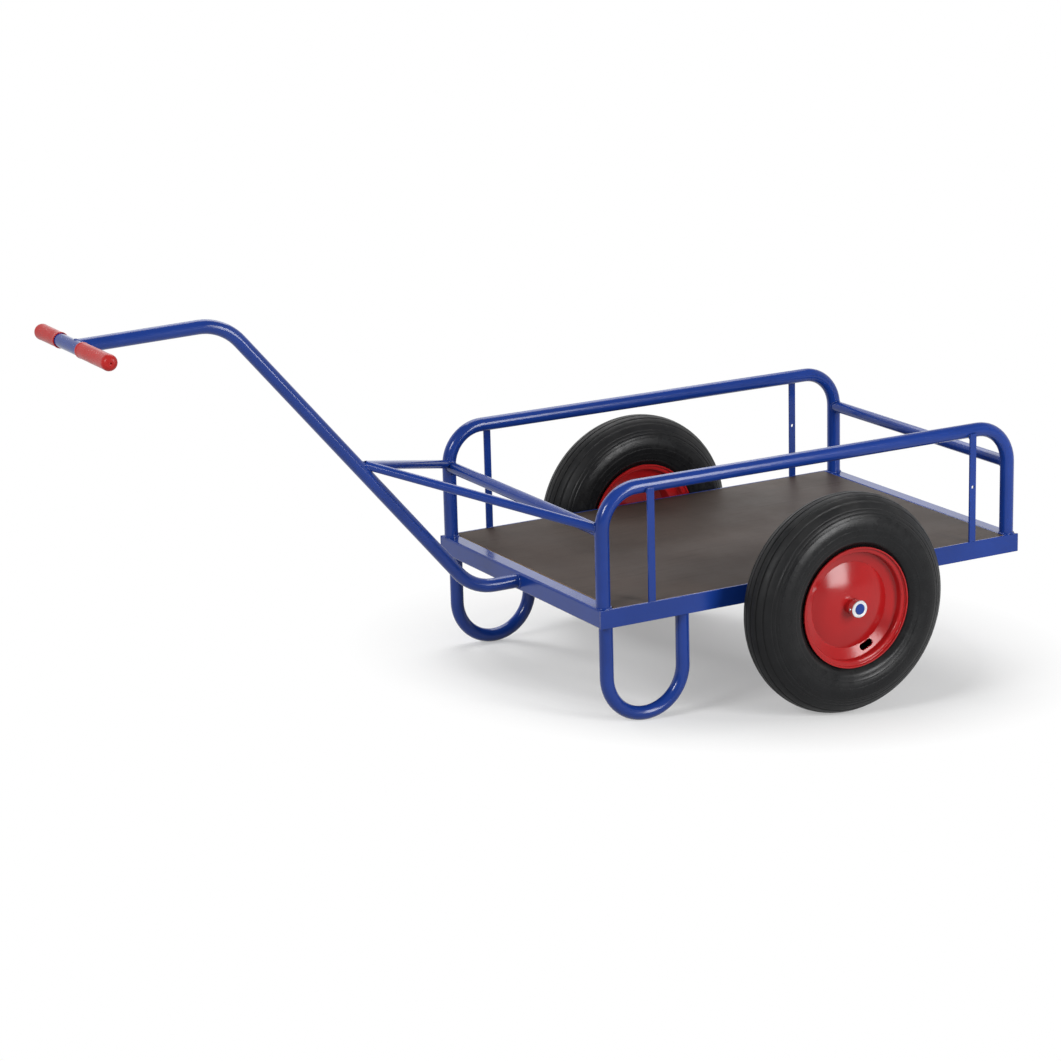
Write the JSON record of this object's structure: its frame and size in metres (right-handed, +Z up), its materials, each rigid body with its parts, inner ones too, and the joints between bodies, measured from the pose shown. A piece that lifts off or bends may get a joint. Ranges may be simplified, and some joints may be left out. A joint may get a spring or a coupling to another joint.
{
  "type": "two-wheeled hand cart",
  "caption": "Two-wheeled hand cart with a tubular T-handle drawbar, plywood deck, side hoops, foot loops and pneumatic wheels, for pulling loads by hand.",
  "frame": {"origin": "on the ground under the middle of the parked cart's bounding box", "axes": "+X forwards to the handle, +Y to the cart's left, +Z up; parked, nose down by about four degrees on its foot loops"},
  "size_m": [1.7674, 0.8346, 0.7012],
  "materials": {
    "paint_blue": "glossy powder coat",
    "deck_plywood": "dark brown phenolic film, satin",
    "rim_red": "glossy enamel",
    "tyre_rubber": "matte rubber with round ribs",
    "grip_red": "soft glossy plastic",
    "zinc": "bright zinc"
  },
  "bodies": {
    "chassis": {"deck_panel": "deck_plywood", "axle": "paint_blue", "deck_bearer_1": "paint_blue", "deck_bearer_2": "paint_blue", "deck_bearer_3": "paint_blue", "frame_front": "paint_blue", "cross_bar_front": "paint_blue", "frame_rear": "paint_blue", "cross_bar_rear": "paint_blue", "drawbar": "paint_blue", "handle_tube": "paint_blue", "frame_side_left": "paint_blue", "hoop_left": "paint_blue", "flat_bar_front_left": "paint_blue", "flat_bar_rear_left": "paint_blue", "brace_left": "paint_blue", "grip_left": "grip_red", "foot_loop_left": "paint_blue", "axle_hanger_left": "paint_blue", "collar_inner_left": "zinc", "collar_outer_left": "zinc", "frame_side_right": "paint_blue", "hoop_right": "paint_blue", "flat_bar_front_right": "paint_blue", "flat_bar_rear_right": "paint_blue", "brace_right": "paint_blue", "grip_right": "grip_red", "foot_loop_right": "paint_blue", "axle_hanger_right": "paint_blue", "collar_inner_right": "zinc", "collar_outer_right": "zinc"},
    "wheel_left": {"tyre_left": "tyre_rubber", "rim_left": "rim_red", "hub_left": "rim_red"},
    "wheel_right": {"tyre_right": "tyre_rubber", "rim_right": "rim_red", "hub_right": "rim_red"}
  },
  "joints": [
    {"name": "wheel_left_spin", "type": "hinge", "parent": "chassis", "child": "wheel_left", "pos_m": [-0.44887, 0.364, 0.2025], "axis": [0, 1, 0], "continuous": true},
    {"name": "wheel_right_spin", "type": "hinge", "parent": "chassis", "child": "wheel_right", "pos_m": [-0.44887, -0.364, 0.2025], "axis": [0, 1, 0], "continuous": true}
  ]
}
